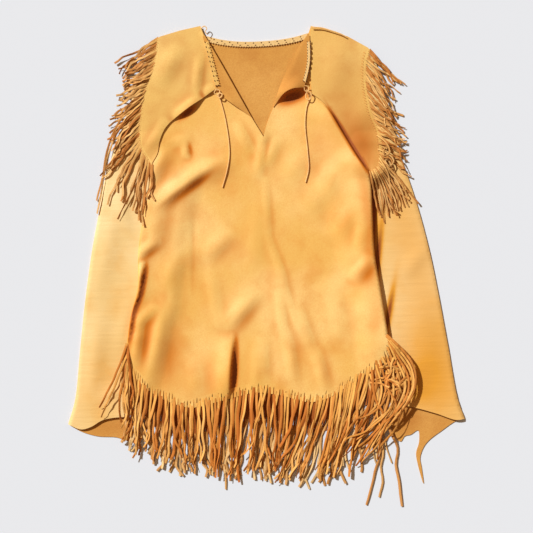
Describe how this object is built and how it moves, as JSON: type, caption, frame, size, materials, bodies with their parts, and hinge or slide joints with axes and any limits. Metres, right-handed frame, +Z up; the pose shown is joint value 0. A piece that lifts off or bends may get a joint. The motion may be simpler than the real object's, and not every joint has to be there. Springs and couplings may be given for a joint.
{
  "type": "fringed buckskin tunic laid flat",
  "caption": "Pullover buckskin tunic laid flat, front up: slit neck with turned-out lapels and laced binding, shoulder yokes, long sleeves, and fringe at yokes and curved hem.",
  "frame": {"origin": "centre of the box round the garment without its neck ties, on the surface that it lies on", "axes": "+X to the right as seen from above with the neck at the top, +Y from hem to neck, +Z up from the surface"},
  "size_m": [0.792, 0.9602, 0.0145],
  "materials": {
    "hide_front": "smooth golden buckskin, softly mottled, matt with a faint sheen",
    "hide_pale": "paler napped buckskin of sleeves and yokes, matt",
    "hide_flesh": "flesh side, brushed suede, fully matt",
    "hide_binding": "pale buckskin strip with pricked lacing holes, matt",
    "hide_fringe": "cut buckskin strands, grain above and suede at the cut edges, matt",
    "lace": "thin round buckskin thong, matt"
  },
  "bodies": {
    "root": {"back": "hide_flesh", "front": "hide_front", "sleeve_left": "hide_pale", "sleeve_right": "hide_pale", "yoke_left": "hide_pale", "yoke_right": "hide_pale", "lapel_left": "hide_flesh", "lapel_right": "hide_flesh", "binding_back_neck": "hide_binding", "binding_lapel_left": "hide_binding", "binding_lapel_right": "hide_binding", "fringe_hem_front": "hide_fringe", "fringe_hem_back": "hide_fringe", "fringe_yoke_left": "hide_fringe", "fringe_yoke_right": "hide_fringe", "tie_left": "lace", "tie_right": "lace"}
  },
  "joints": []
}
